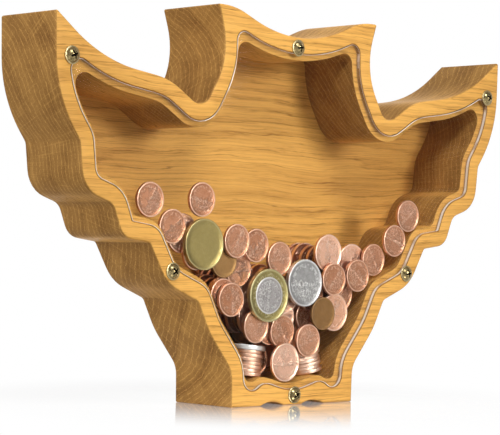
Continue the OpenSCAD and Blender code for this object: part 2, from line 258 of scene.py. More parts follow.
@dataclass(frozen=True)
class Oak(Finish):
    """Oiled flat-sawn oak, with rings, pores, veins and rays, its grain along X, and painted shade at the foot of
    the rebate's wall.

    Places, pitches and shifts are in millimetres, and the masks' scales in waves for each millimetre.
    """

    ring_y: float = 70.0
    ring_z: float = 111.0
    ring_pitch: float = 2.7
    ring_sway: float = 16.0
    ring_wander: float = 3.2
    grain_bend: float = 12.0
    vein_pitch: float = 3.0
    vein_wander: float = 5.0
    vein_lean: float = 0.7
    long_pores: Mask = Mask((0.028, 2.1, 2.1), 2.0, 0.6, 0.55, 0.64)
    short_pores: Mask = Mask((0.12, 3.0, 3.0), 1.0, 0.6, 0.55, 0.66)
    vein_depth: Mask = Mask((0.018, 0.3, 0.3), 2.0, 0.5, 0.4, 0.62)
    ray_flecks: Mask = Mask((110.0, 0.035, 0.1), 2.0, 0.55, 0.54, 0.7)
    broken: Mask = Mask((0.5, 0.7, 0.7), 2.0, 0.6, 0.3, 0.6)
    pore_share: float = 0.62
    # How far the painted shade at the foot of the rebate's wall darkens the wood.
    groove_shade_share: float = 0.3
    bump_mm: float = 0.05
    light: tuple = (0.78, 0.415, 0.096)
    dark: tuple = (0.42, 0.19, 0.036)
    end_light: tuple = (0.54, 0.29, 0.078)
    end_dark: tuple = (0.175, 0.074, 0.016)
    pore: tuple = (0.22, 0.085, 0.016)
    # Painted shade colour for the foot of the rebate's wall, where light hardly reaches.
    groove_shade: tuple = (0.05, 0.022, 0.008)

    def inputs(self, tree: bpy.types.NodeTree) -> dict[str, Value]:
        """Rings about a lengthwise axis, pores and veins along the grain, rays across the rings and painted shade
        at the foot of the rebate's wall.
        """
        place = self.place(tree)
        x, y, z = (place.part(i) for i in range(3))
        end = abs(add_node(tree, "ShaderNodeTexCoord", {}, "Normal").part(0)).step(0.12, 0.6)

        sway = (place * (0.0045, 0.016, 0.016)).noise(1.0, 1.0) - 0.5
        wander = (place * (0.025, 0.2, 0.2)).noise(1.0, 4.0, 0.6) - 0.5
        bend = (place * (0.011, 0.012, 0.012)).noise(1.0, 2.0) - 0.5
        bent = joined(x, y, z + bend * self.grain_bend)
        off_y, off_z = y - self.ring_y, z - self.ring_z
        radius = (off_y * off_y + off_z * off_z).do("SQRT") + sway * self.ring_sway + wander * self.ring_wander
        rings = radius / self.ring_pitch
        turn = rings.do("FRACT")
        year = rings.node("ShaderNodeTexWhiteNoise", {"W": rings.do("FLOOR")}, 0, noise_dimensions="1D") - 0.5
        early = turn.step(0.0, 0.42, 1.0, 0.0) + turn.step(0.9, 1.0)
        cloud = (place * (0.01, 0.07, 0.07)).noise(1.0, 3.0, 0.6) - 0.5
        streak = (bent * (0.01, 0.9, 0.9)).noise(1.0, 3.0, 0.6)

        pores = self.long_pores.over(bent) * 0.8 + self.short_pores.over(bent) * 0.55
        pores = pores * (early * 0.6 + 0.4)
        drift = bent.part(2) + y * self.vein_lean + wander * self.vein_wander
        vein = abs((drift / self.vein_pitch).do("FRACT") - 0.5).step(0.02, 0.09, 1.0, 0.0)
        pores = pores + vein * self.vein_depth.over(bent) * 0.8
        tone = early * 0.26 + year * 0.16 + (streak - 0.5) * 1.2 + cloud * 0.8 + 0.16
        along = (pores * self.pore_share).mix(tone.mix(self.light, self.dark), self.pore)

        rays = self.ray_flecks.over(joined(off_z.do("ARCTAN2", off_y), radius, x))
        speck = (place * (1.5, 3.2, 3.2)).noise(1.0, 3.0, 0.7) - 0.5
        late_line = abs(turn - 0.62).step(0.01, 0.12, 1.0, 0.0) * self.broken.over(place)
        end_tone = 0.62 - late_line * 0.66 + year * 0.3 + cloud * 0.9 - rays * 0.24 + speck * 1.5
        across = end_tone.mix(self.end_light, self.end_dark)

        # Painted shade: the colour goes towards the groove shade colour where the mesh marks the foot of the
        # rebate's wall.
        painted_shade = add_node(tree, "ShaderNodeAttribute", {}, "Fac", attribute_name="groove_shade")
        return {
            "Base Color": (painted_shade * self.groove_shade_share).mix(end.mix(along, across), self.groove_shade),
            "Roughness": pores * 0.16 + early * 0.04 + end * 0.2 + 0.42,
            "Specular IOR Level": 0.14,
            "Normal": self.bump(streak * 0.3 - pores * 0.7 - early * 0.2, self.bump_mm, 0.3),
        }


@dataclass(frozen=True)
class ClearSheet(Finish):
    """The broad faces of the clear window."""

    def inputs(self, tree: bpy.types.NodeTree) -> dict[str, Value]:
        """A thin clear gloss with the faintest wipe marks."""
        wipes = (self.place(tree) * (0.05, 0.05, 0.22)).noise(1.0, 3.0, 0.6)
        return {
            "Base Color": (0.03, 0.03, 0.03),
            "Roughness": wipes * 0.06 + 0.02,
            "IOR": 1.49,
            "Alpha": 0.03,
        }


@dataclass(frozen=True)
class SawnEdge(Finish):
    """The window's sawn edge: a painted highlight at the front, painted shade on the side that faces -X and a
    painted glint on the side that faces +X and down.

    Depths are values of Y in millimetres, where each painted highlight ends.
    """

    front_highlight_depth: tuple = (-19.85, -19.55)
    glint_depth: tuple = (-18.7, -18.1)
    pale: tuple = (0.80, 0.60, 0.38)
    paler: tuple = (0.98, 0.80, 0.58)
    # Painted shade colour for the edge faces that look towards -X.
    shade_side_tone: tuple = (0.10, 0.06, 0.03)
    # Painted highlight colour for the front strip and the glint.
    painted_highlight: tuple = (1.0, 0.97, 0.92)

    def inputs(self, tree: bpy.types.NodeTree) -> dict[str, Value]:
        """Fine saw lines, and painted highlight and painted shade by depth and by the way the edge faces, which
        rides on the mesh.
        """
        place = self.place(tree)
        depth = place.part(1)
        outward = add_node(tree, "ShaderNodeAttribute", {}, "Vector", attribute_name="outward")
        lines = (place * (1.4, 9.0, 1.4)).noise(1.0, 2.0, 0.6)
        blots = (place * 0.12).noise(1.0, 2.0, 0.5).step(0.35, 0.65)
        # Painted highlight: a bright strip at the front of the edge, broken by noise.
        front = depth.step(*self.front_highlight_depth, 1.0, 0.0) * (place * 0.05).noise(1.0, 2.0).step(0.35, 0.55, 0.4, 1.0)
        # Painted glint on the edge faces that look towards +X and down, behind the front.
        glint = (outward.part(0) - outward.part(2)).step(0.7, 1.2) * depth.step(*self.glint_depth, 1.0, 0.0)
        glint = glint * (place * 0.07).noise(1.0, 2.0).step(0.36, 0.5, 0.35, 1.0)
        # Painted shade on the edge faces that look towards -X.
        shaded_side = outward.part(0).step(-0.35, 0.15, 1.0, 0.0)
        plain = shaded_side.mix(blots.mix(self.pale, self.paler), self.shade_side_tone)
        return {
            "Base Color": front.do("MAXIMUM", glint).mix(plain, self.painted_highlight),
            "Roughness": lines * 0.25 + 0.2,
            "IOR": 1.49,
            "Alpha": front.do("MAXIMUM", glint * 1.5) * 0.45 + shaded_side * 0.4 + 0.14,
            "Normal": self.bump(lines, 0.03, 0.5),
        }


@dataclass(frozen=True)
class AgedBrass(Finish):
    """Brass tarnished in its hollows and rubbed bright on its crowns, with painted shade in the screw's cross
    recess.
    """

    bright: tuple = (0.44, 0.34, 0.16)
    dark: tuple = (0.085, 0.062, 0.026)
    # Painted shade colour for the screw's cross recess.
    hollow: tuple = (0.008, 0.006, 0.004)
    wear: float = 0.5
    gloss: float = 0.2

    def inputs(self, tree: bpy.types.NodeTree) -> dict[str, Value]:
        """Tarnish by a soft noise, thinner where the surface stands out, and painted shade where the mesh marks
        the cross recess.
        """
        place = self.place(tree)
        spots = (place * 0.9).noise(1.0, 4.0, 0.65)
        fine = (place * 5.0).noise(1.0, 3.0, 0.6)
        edge = add_node(tree, "ShaderNodeNewGeometry", {}, "Pointiness").step(0.47, 0.56)
        tone = (spots + fine * 0.3 + edge * self.wear).step(0.45, 1.15)
        # Painted shade: near black in the cross recess, by the mask stored on the screw's mesh.
        painted_shade = add_node(tree, "ShaderNodeAttribute", {}, "Fac", attribute_name="hollow")
        return {
            "Base Color": painted_shade.mix(tone.mix(self.dark, self.bright), self.hollow),
            "Metallic": 1.0,
            "Roughness": fine * 0.14 + painted_shade * 0.4 + self.gloss,
            "Normal": self.bump(fine, 0.02, 0.4),
        }


class Relief(Enum):
    """How much of the generic device a coin shows."""

    PLAIN = 0.04
    FIELD = 1.0


@dataclass(frozen=True)
class CoinMetal(Finish):
    """Struck metal with a made-up device: a row of dots, a rough field and a ring of marks, with a painted
    highlight on the raised device and the rim.

    Places on the face are shares of the coin's radius, and pairs are where a soft edge starts and ends.
    """

    base: tuple = (0.64, 0.32, 0.19)
    worn: tuple = (0.36, 0.15, 0.072)
    # Painted highlight colour for the raised device and the rim.
    crown_highlight: tuple = (1.0, 0.68, 0.50)
    relief: Relief = Relief.FIELD
    gloss: float = 0.27
    marks: float = 44.0
    relief_mm: float = 0.34
    row_half: tuple = (0.06, 0.1)
    field_end: tuple = (0.58, 0.68)
    ring_at: float = 0.73
    ring_half: tuple = (0.07, 0.1)
    inner_end: tuple = (0.84, 0.9)
    rim_start: tuple = (0.9, 0.94)

    def inputs(self, tree: bpy.types.NodeTree) -> dict[str, Value]:
        """The device stands in the coin's own face coordinates, which ride on the mesh."""
        face = add_node(tree, "ShaderNodeAttribute", {}, "Vector", attribute_name="face_place")
        lot = add_node(tree, "ShaderNodeAttribute", {}, "Fac", attribute_name="coin_lot")
        u, v, side = (face.part(i) for i in range(3))
        reach = joined(u, v, 0.0).length()
        turn = v.do("ARCTAN2", u)
        inside = reach.step(*self.inner_end, 1.0, 0.0)
        shifted = joined(u, v, lot * 9.0 + side * 3.0)
        grain = shifted.noise(9.0, 4.0, 0.62)
        blobs = shifted.noise(2.6, 3.0, 0.55)
        strokes = abs(shifted.noise(5.6, 2.0, 0.5) - 0.5).step(0.006, 0.05, 1.0, 0.0)
        dots = joined(u * 5.0, v * 12.0, lot * 7.0).noise(1.0, 2.0, 0.6).step(0.44, 0.54)
        row = abs(u + v * 0.12 - (lot - 0.5) * 0.3).step(*self.row_half, 1.0, 0.0) * inside * dots
        ring = abs(reach - self.ring_at).step(*self.ring_half, 1.0, 0.0)
        teeth = joined(turn * (self.marks / math.tau), reach * 7.0, lot * 5.0).noise(1.0, 2.0, 0.6).step(0.5, 0.56)
        patch = (blobs + u * 0.3).step(0.45, 0.52) * reach.step(*self.field_end, 1.0, 0.0)
        device = patch * (strokes * 1.1 + grain.step(0.45, 0.6) * 0.5)
        height = (row * 0.8 + ring * teeth * 0.7 + device) * inside * self.relief.value
        rubbed = (grain * 0.5 + blobs * 0.6 + lot * 0.35).step(0.45, 1.0)
        scratch = (shifted * (30.0, 2.0, 1.0)).noise(1.0, 2.0, 0.6)
        # Painted highlight: the raised device and the rim go towards the highlight colour on every coin.
        painted_highlight = (height * 0.55 + reach.step(*self.rim_start) * 0.5).do("MINIMUM", 1.0)
        return {
            "Base Color": painted_highlight.mix(rubbed.mix(self.base, self.worn), self.crown_highlight),
            "Metallic": 1.0,
            "Roughness": rubbed * 0.14 + grain * 0.08 + self.gloss,
            "Normal": self.bump(height + scratch * 0.05 + grain * 0.1, self.relief_mm),
        }


# ---- meshes


def fuse(name: str) -> bpy.types.Mesh:
    """A copy of a CAD node's mesh with its split vertices joined."""
    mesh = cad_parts[name].data.copy()
    work = bmesh.new()
    work.from_mesh(mesh)
    bmesh.ops.remove_doubles(work, verts=work.verts, dist=CAD_WELD)
    work.to_mesh(mesh)
    work.free()
    return mesh


def plane_loops(mesh: bpy.types.Mesh, facing: float, level: float) -> list[np.ndarray]:
    """The edges of a mesh's faces in one plane across Y, as loops.

    Args:
        mesh: The mesh.
        facing: -1 for faces that look towards -Y, 1 for the others.
        level: The plane's Y.

    Returns:
        Loops of X and Z with the faces on their left as seen from -Y, the longest first.
    """
    follow: dict[int, int] = {}
    taken: set[tuple[int, int]] = set()
    for polygon in mesh.polygons:
        if polygon.normal.y * facing > 0.99 and abs(polygon.center.y - level) < SAME_PLACE:
            ids = list(polygon.vertices)
            taken.update(zip(ids, ids[1:] + ids[:1]))
    for a, b in taken:
        if (b, a) not in taken:
            follow[a] = b
    loops = []
    while follow:
        start, at = next(iter(follow.items()))
        ids = [start]
        del follow[start]
        while at != start and at in follow:
            ids.append(at)
            at = follow.pop(at)
        points = np.array([(mesh.vertices[i].co.x, mesh.vertices[i].co.z) for i in ids])
        loops.append(points if facing < 0 else points[::-1])
    return sorted(loops, key=lambda p: -float(np.linalg.norm(p - np.roll(p, 1, 0), axis=1).sum()))


def inset(loop: np.ndarray, distance: float) -> np.ndarray:
    """A loop moved to its left, with the points of corners that vanish drawn together.

    Args:
        loop: Points of X and Z.
        distance: How far to move, in metres.

    Returns:
        As many points as the loop has.
    """
    ahead = np.roll(loop, -1, 0) - loop
    ahead = ahead / np.linalg.norm(ahead, axis=1)[:, None]
    left = np.stack([-ahead[:, 1], ahead[:, 0]], 1)
    before = np.roll(left, 1, 0)
    share = 1 + (left * before).sum(1)
    moved = loop + distance * (left + before) / share[:, None]
    count = len(loop)
    for _ in range(6):
        now = np.roll(moved, -1, 0) - moved
        bad = (now * ahead).sum(1) < 0
        if not bad.any():
            break
        for i in np.flatnonzero(bad):
            middle = (moved[i] + moved[(i + 1) % count]) / 2
            moved[i] = moved[(i + 1) % count] = middle
    return moved


class Shell:
    """Collects rings of points, the strips between them and the flat caps that close them."""

    def __init__(self) -> None:
        """Starts empty."""
        self.points: list[tuple[float, float, float]] = []
        self.faces: list[tuple[int, ...]] = []
        self.slots: list[int] = []

    def ring(self, loop: Iterable[Sequence[float]]) -> list[int]:
        """Adds points given as X, Y, Z and returns their places."""
        first = len(self.points)
        self.points.extend(tuple(float(c) for c in p) for p in loop)
        return list(range(first, len(self.points)))

    def flat(self, loop: np.ndarray, level: float) -> list[int]:
        """Adds a loop of X and Z at one Y."""
        return self.ring([(p[0], level, p[1]) for p in loop])

    def strip(self, a: Sequence[int], b: Sequence[int], slot: int = 0) -> None:
        """Joins two rings of equal length with quads."""
        count = len(a)
        for i in range(count):
            j = (i + 1) % count
            self.faces.append((a[i], a[j], b[j], b[i]))
            self.slots.append(slot)

    def stack(self, rings: Sequence[Sequence[int]], slot: int = 0) -> None:
        """Joins each ring with the next."""
        for a, b in zip(rings, rings[1:]):
            self.strip(a, b, slot)

    def cap(self, *rings: Sequence[int], slot: int = 0) -> None:
        """Fills the flat area between an outer ring and those inside it."""
        flats = [[Vector((self.points[i][0], self.points[i][2], 0)) for i in ring] for ring in rings]
        ids = [i for ring in rings for i in ring]
        for triangle in tessellate_polygon(flats):
            self.faces.append(tuple(ids[i] for i in triangle))
            self.slots.append(slot)

    def fan(self, ring: Sequence[int], tip: Sequence[float], slot: int = 0) -> None:
        """Closes a ring onto one point."""
        top = self.ring([tip])[0]
        for i, at in enumerate(ring):
            self.faces.append((at, ring[(i + 1) % len(ring)], top))
            self.slots.append(slot)

    def mesh(self, name: str) -> bpy.types.Mesh:
        """Makes the mesh, cleaned and with its faces outward."""
        mesh = bpy.data.meshes.new(name)
        mesh.from_pydata(self.points, [], self.faces)
        mesh.polygons.foreach_set("material_index", self.slots)
        work = bmesh.new()
        work.from_mesh(mesh)
        bmesh.ops.remove_doubles(work, verts=work.verts, dist=WELD)
        bmesh.ops.dissolve_degenerate(work, dist=NO_LENGTH, edges=work.edges)
        bmesh.ops.recalc_face_normals(work, faces=work.faces)
        if work.calc_volume(signed=True) < 0:
            bmesh.ops.reverse_faces(work, faces=work.faces)
        work.to_mesh(mesh)
        work.free()
        return smoothed(mesh)


def smoothed(mesh: bpy.types.Mesh) -> bpy.types.Mesh:
    """Shades a mesh smooth up to the common angle."""
    mesh.shade_smooth()
    mesh.set_sharp_from_angle(angle=SMOOTH_ANGLE)
    return mesh


def eased(size: float, steps: int) -> list[tuple[float, float]]:
    """Inset and depth of the steps of a rounded edge, from the face to the wall."""
    turns = [math.pi / 2 * k / steps for k in range(steps + 1)]
    return [(size * (1 - math.sin(t)), size * (1 - math.cos(t))) for t in turns]


def lathe(profile: Sequence[tuple[float, float]], count: int, closed: bool = False) -> Shell:
    """Turns a profile of radius and height about Z.

    Args:
        profile: Points from one end to the other, in metres.
        count: Points round each ring.
        closed: True if the last point joins the first; otherwise both ends close onto the axis.

    Returns:
        The shell.
    """
    shell = Shell()
    spins = [2 * math.pi * k / count for k in range(count)]
    rings = [shell.ring([(r * math.cos(a), r * math.sin(a), z) for a in spins]) for r, z in profile]
    shell.stack(rings)
    if closed:
        shell.strip(rings[-1], rings[0])
    else:
        shell.fan(rings[0], (0, 0, profile[0][1]))
        shell.fan(rings[-1], (0, 0, profile[-1][1]))
    return shell


def shown_object(name: str, mesh: bpy.types.Mesh) -> bpy.types.Object:
    """Links a mesh as an object at the origin."""
    made = bpy.data.objects.new(name, mesh)
    bpy.context.scene.collection.objects.link(made)
    return made


def settled(obj: bpy.types.Object) -> bpy.types.Object:
    """Replaces an object's mesh by what its modifiers make of it."""
    graph = bpy.context.evaluated_depsgraph_get()
    mesh = bpy.data.meshes.new_from_object(obj.evaluated_get(graph), depsgraph=graph)
    obj.modifiers.clear()
    obj.data = mesh
    return obj


def declare(obj: bpy.types.Object, body: str, slot: str, *nodes: str) -> None:
    """Says what a finished piece rides on and hides the nodes it stands for."""
    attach(obj, body)
    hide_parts(*nodes)
    LOG.info("%s: %d faces on %s", obj.name, len(obj.data.polygons), body)


# ---- sub-assemblies


@dataclass
class Block:
    """The routed oak block."""

    front: float = -20.0 * MM
    ledge: float = -17.5 * MM
    chamber_back: float = 16.0 * MM
    back: float = 20.0 * MM
    outer_ease: float = 0.9 * MM
    inner_ease: float = 0.25 * MM
    crease: float = 0.7 * MM
    slot_length: float = 32.0 * MM
    slot_width: float = 5.0 * MM
    slot_y: float = 6.0 * MM
    slot_bottom: float = 150.0 * MM
    slot_over: float = 10.0 * MM
    finish: Oak = field(default_factory=lambda: Oak("oiled_oak"))

    def build(self) -> bpy.types.Object:
        """Builds the block from the plane loops of its CAD node.

        Returns:
            The finished object.
        """
        cad = fuse("body")
        outer, rebate, *holes = plane_loops(cad, -1, self.front)
        inner = plane_loops(cad, -1, self.ledge)[1]
        shell = Shell()
        edge = eased(self.outer_ease, 4)
        lip = eased(self.inner_ease, 2)
        outer_rings = [shell.flat(inset(outer, i), self.front + y) for i, y in edge]
        outer_rings += [shell.flat(inset(outer, i), self.back - y) for i, y in reversed(edge)]
        shell.stack(outer_rings)
        rebate_rings = [shell.flat(inset(rebate, i), self.front + y) for i, y in lip]
        rebate_rings.append(shell.flat(rebate, self.ledge))
        shell.stack(rebate_rings)
        crease = shell.flat(inset(rebate, -self.crease), self.ledge)
        shell.strip(rebate_rings[-1], crease)
        inner_rings = [shell.flat(inset(inner, i), self.ledge + y) for i, y in lip]
        inner_rings.append(shell.flat(inner, self.chamber_back))
        shell.stack(inner_rings)
        hole_rings = []
        for hole in holes:
            mouth = shell.flat(hole, self.front)
            bottom = shell.flat(hole, self.front + self.hole_depth(cad, hole))
            shell.strip(mouth, bottom)
            shell.cap(bottom)
            hole_rings.append(mouth)
        shell.cap(outer_rings[0], rebate_rings[0], *hole_rings)
        shell.cap(crease, inner_rings[0])
        shell.cap(inner_rings[-1])
        shell.cap(outer_rings[-1])
        block = shown_object("oak_block", shell.mesh("oak_block"))
        self.cut_slot(block)
        block.data.materials.clear()
        block.data.materials.append(self.finish.make())
        self.mark_groove_shade(block.data, rebate)
        declare(block, "box", "oak", "body")
        return block

    def mark_groove_shade(self, mesh: bpy.types.Mesh, rebate: np.ndarray) -> None:
        """Marks the corner at the foot of the rebate's wall, where light hardly reaches, for the painted shade
        there.
        """
        spots = {(round(x, PLACES), round(z, PLACES)) for x, z in rebate.tolist()}
        groove_shade = mesh.attributes.new("groove_shade", "FLOAT", "POINT")
        for vertex, mark in zip(mesh.vertices, groove_shade.data):
            x, y, z = vertex.co
            at_foot = abs(y - self.ledge) < SAME_PLACE and (round(x, PLACES), round(z, PLACES)) in spots
            mark.value = float(at_foot)

    def hole_depth(self, cad: bpy.types.Mesh, hole: np.ndarray) -> float:
        """Depth of a screw hole, read from the CAD node."""
        middle = hole.mean(0)
        reach = max(np.linalg.norm(hole - middle, axis=1)) + SAME_PLACE
        deep = [v.co.y for v in cad.vertices if math.hypot(v.co.x - middle[0], v.co.z - middle[1]) < reach]
        return max(deep) - self.front

    def cut_slot(self, block: bpy.types.Object) -> None:
        """Cuts the coin slot down from the dip between the horns."""
        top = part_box("body")[1].z + self.slot_over
        radius = self.slot_width / 2
        half = self.slot_length / 2 - radius
        turns = [math.pi * k / 16 for k in range(17)]
        ends = [(s * (half + radius * math.sin(t)), s * radius * math.cos(t)) for s in (1, -1) for t in turns]
        cutter = Shell()
        rings = []
        for level in (self.slot_bottom, top):
            rings.append(cutter.ring([(x, self.slot_y + y, level) for x, y in ends]))
            cutter.fan(rings[-1], (0, self.slot_y, level))
        cutter.stack(rings)
        tool = shown_object("slot_cutter", cutter.mesh("slot_cutter"))
        cut = block.modifiers.new("slot", "BOOLEAN")
        cut.operation, cut.solver, cut.object = "DIFFERENCE", "EXACT", tool
        settled(block)
        bpy.data.objects.remove(tool)
        smoothed(block.data)


@dataclass
class Window:
    """The clear sheet let into the rebate."""

    ease: float = 0.2 * MM
    slack: float = 0.15 * MM
    faces: ClearSheet = field(default_factory=lambda: ClearSheet("clear_sheet"))
    edges: SawnEdge = field(default_factory=lambda: SawnEdge("sawn_sheet_edge"))

    def build(self) -> bpy.types.Object:
        """Builds the sheet from the outline of its CAD node, with its edges eased."""
        cad = fuse("window")
        low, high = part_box("window")
        outline = plane_loops(cad, -1, low.y)[0]
        shell = Shell()
        edge = eased(self.ease, 2)
        rings = [shell.flat(inset(outline, self.slack + i), low.y + y) for i, y in edge]
        rings += [shell.flat(inset(outline, self.slack + i), high.y - y) for i, y in reversed(edge)]
        shell.stack(rings, 1)
        shell.cap(rings[0])
        shell.cap(rings[-1])
        sheet = shown_object("clear_window", shell.mesh("clear_window"))
        # Face normals on the mesh, which steer the painted highlight and painted shade of the sheet's edge.
        outward = sheet.data.attributes.new("outward", "FLOAT_VECTOR", "FACE")
        for polygon, mark in zip(sheet.data.polygons, outward.data):
            mark.vector = polygon.normal
        sheet.data.materials.append(self.faces.make())
        sheet.data.materials.append(self.edges.make())
        declare(sheet, "window", "clear_sheet", "window")
        return sheet


@dataclass
class Fixing:
    """One dome-head screw with its washer."""

    spot: str
    spin: float
    head_r: float = 3.6 * MM
    head_h: float = 2.2 * MM
    recess_w: float = 1.0 * MM
    recess_span: float = 4.2 * MM
    recess_h: float = 1.4 * MM
    shank_r: float = 1.75 * MM
    root_r: float = 1.25 * MM
    shank_l: float = 16.0 * MM
    plain_l: float = 3.0 * MM
    point_l: float = 4.0 * MM
    pitch: float = 1.6 * MM
    crest_share: float = 0.22
    taper_curve: float = 0.8
    recess_edge: float = 0.16 * MM
    # Depth over which the painted shade in the recess comes in.
    hollow_depth: float = 0.4 * MM
    washer_bore_r: float = 1.95 * MM
    washer_ease: float = 0.14 * MM

    @property
    def screw_node(self) -> str:
        """Name of the screw's CAD node."""
        name, *side = self.spot.split("_")
        return "_".join((name, "screw", *side))

    @property
    def washer_node(self) -> str:
        """Name of the washer's CAD node."""
        return self.screw_node.replace("screw", "washer")

    def dip(self, u: float, v: float) -> float:
        """Depth of the cross recess at a point of the head."""
        half_w, half_s = self.recess_w / 2, self.recess_span / 2
        gap = min(max(abs(u) - half_w, abs(v) - half_s), max(abs(v) - half_w, abs(u) - half_s))
        wall = min(1.0, max(0.0, -gap / self.recess_edge))
        slope = max(0.15, 1 - math.hypot(u, v) / half_s * 0.8)
        return self.recess_h * slope * wall

    def dome(self, r: float) -> float:
        """Height of the plain dome at a distance from its middle."""
        dome_r = (self.head_r**2 + self.head_h**2) / (2 * self.head_h)
        return math.sqrt(max(0.0, dome_r**2 - r * r)) - dome_r + self.head_h

    def painted_shade(self, at: Vector) -> float:
        """How far a point of the standing head lies in the recess, from 0 to 1: the mask for the painted shade
        there.
        """
        depth = self.dome(math.hypot(at.x, at.z)) + at.y
        return min(1.0, max(0.0, depth / self.hollow_depth)) if at.y < -0.05 * MM else 0.0

    def head(self, rings: int = 44, count: int = 96) -> bpy.types.Mesh:
        """The domed head with its cross recess, its seat at height 0."""
        shell = Shell()
        made = []
        for k in range(1, rings + 1):
            r = self.head_r * k / rings
            row = []
            for i in range(count):
                a = 2 * math.pi * i / count
                u, v = r * math.cos(a), r * math.sin(a)
                row.append((u, v, max(0.0, self.dome(r) - self.dip(u, v))))
            made.append(shell.ring(row))
        shell.stack(made)
        shell.fan(made[0], (0, 0, self.head_h - self.dip(0, 0)))
        shell.fan(made[-1], (0, 0, 0))
        return shell.mesh("screw_head")

    def shank(self, count: int = 40, rows_a_turn: int = 9) -> bpy.types.Mesh:
        """The threaded shank, from the seat down to the point."""
        shell = Shell()
        rows = int((self.shank_l - self.plain_l) / self.pitch * rows_a_turn)
        depths = [0.0, self.plain_l * 0.5, self.plain_l]
        depths += [self.plain_l + (self.shank_l - self.plain_l) * k / rows for k in range(1, rows)]
        made = []
        for depth in depths:
            taper = min(1.0, (self.shank_l - depth) / self.point_l) ** self.taper_curve
            core = self.shank_r if depth <= self.plain_l else self.root_r
            row = []
            for i in range(count):
                a = 2 * math.pi * i / count
                phase = (depth / self.pitch + i / count) % 1.0
                crest = max(0.0, 1 - abs(phase - 0.5) / self.crest_share)
                r = (core + (self.shank_r - core) * crest) * taper
                row.append((r * math.cos(a), r * math.sin(a), -depth))
            made.append(shell.ring(row))
        shell.stack(made)
        shell.fan(made[0], (0, 0, 0))
        shell.fan(made[-1], (0, 0, -self.shank_l))
        return shell.mesh("screw_shank")

    def stand(self, meshes: Sequence[bpy.types.Mesh], name: str, seat: Vector) -> bpy.types.Object:
        """Joins meshes made along Z and stands them at seat, pointing out of the front."""
        turn = Matrix.Translation(seat) @ Matrix.Rotation(math.pi / 2, 4, "X") @ Matrix.Rotation(self.spin, 4, "Z")
        work = bmesh.new()
        for mesh in meshes:
            mesh.transform(turn)
            work.from_mesh(mesh)
            bpy.data.meshes.remove(mesh)
        whole = bpy.data.meshes.new(name)
        work.to_mesh(whole)
        work.free()
        return shown_object(name, smoothed(whole))

    def build(self, metal: bpy.types.Material, ring_metal: bpy.types.Material) -> None:
        """Builds the screw and the washer on the places of their CAD nodes.

        Args:
            metal: The screw's material.
            ring_metal: The washer's material.
        """
        low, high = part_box(self.screw_node)
        axis = (low + high) / 2
        seat = Vector((axis.x, low.y + self.head_h, axis.z))
        screw = self.stand([self.head(), self.shank()], self.screw_node + "_piece", seat)
        # Painted shade mask for the cross recess, stored on the screw's mesh.
        hollow = screw.data.attributes.new("hollow", "FLOAT", "POINT")
        hollow.data.foreach_set("value", [self.painted_shade(v.co - seat) for v in screw.data.vertices])
        screw.data.materials.append(metal)
        declare(screw, self.screw_node + "_body", "antique_brass", self.screw_node)
        low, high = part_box(self.washer_node)
        inner, outer = self.washer_bore_r, (high.x - low.x) / 2
        thick, ease = high.y - low.y, self.washer_ease
        profile = [
            (inner, ease), (inner + ease, 0), (outer - ease, 0), (outer, ease), (outer, thick - ease),
            (outer - ease * 0.3, thick - ease * 0.3), (outer - ease, thick), (inner + ease, thick),
            (inner, thick - ease),
        ]
        ring = lathe(profile, 72, closed=True).mesh("washer")
        washer = self.stand([ring], self.washer_node + "_piece", Vector((axis.x, high.y, axis.z)))
        washer.data.materials.append(ring_metal)
        declare(washer, "window", "washer_brass", self.washer_node)


